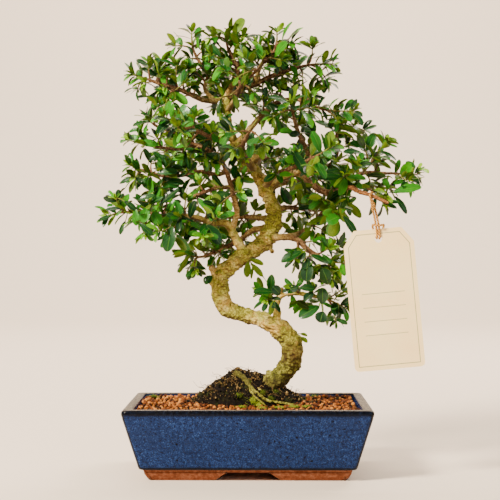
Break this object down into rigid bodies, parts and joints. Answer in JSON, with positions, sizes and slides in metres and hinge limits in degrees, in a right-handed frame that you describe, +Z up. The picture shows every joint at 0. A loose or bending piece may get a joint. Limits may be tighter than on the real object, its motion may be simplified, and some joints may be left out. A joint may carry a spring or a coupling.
{
  "type": "fukien tea bonsai in a glazed pot",
  "caption": "Small tree with an S-curved trunk and leafy branches, rooted in a soil mound in a rectangular footed pot, with a blank hang tag on a twig.",
  "frame": {"origin": "centre of the whole object's footprint box, on the plane that the pot's feet stand on", "axes": "+Z up; the pot's long side lies along X and the side seen in the picture faces -Y"},
  "size_m": [0.2726, 0.196, 0.3815],
  "materials": {
    "bark": "matte",
    "foliage": "satin",
    "soil": "matte",
    "clay_granules": "matte",
    "pot_glaze": "gloss",
    "screen_plastic": "matte",
    "tag_card": "matte",
    "jute_twine": "matte"
  },
  "bodies": {
    "root": {"tree": "bark", "hang_tag": "tag_card", "pot": "pot_glaze", "root_ball": "soil", "granules": "clay_granules", "drain_screen_left": "screen_plastic", "drain_screen_right": "screen_plastic", "spray_01": "foliage", "spray_02": "foliage", "spray_03": "foliage", "spray_04": "foliage", "spray_05": "foliage", "spray_06": "foliage", "spray_07": "foliage", "spray_08": "foliage", "spray_09": "foliage", "spray_10": "foliage", "spray_11": "foliage", "spray_12": "foliage", "spray_13": "foliage", "spray_14": "foliage", "spray_15": "foliage", "spray_16": "foliage", "spray_17": "foliage", "spray_18": "foliage", "spray_19": "foliage", "spray_20": "foliage", "spray_21": "foliage", "spray_22": "foliage", "spray_23": "foliage", "spray_24": "foliage", "spray_25": "foliage", "spray_26": "foliage", "spray_27": "foliage", "spray_28": "foliage", "spray_29": "foliage", "spray_30": "foliage", "spray_31": "foliage", "spray_32": "foliage", "spray_33": "foliage", "spray_34": "foliage", "spray_35": "foliage", "spray_36": "foliage", "spray_37": "foliage", "spray_38": "foliage", "spray_39": "foliage", "spray_40": "foliage", "spray_41": "foliage", "spray_42": "foliage", "spray_43": "foliage", "spray_44": "foliage", "spray_45": "foliage", "spray_46": "foliage", "spray_47": "foliage", "spray_48": "foliage", "spray_49": "foliage", "spray_50": "foliage", "tag_twine": "jute_twine", "twine_knot": "jute_twine"}
  },
  "joints": []
}
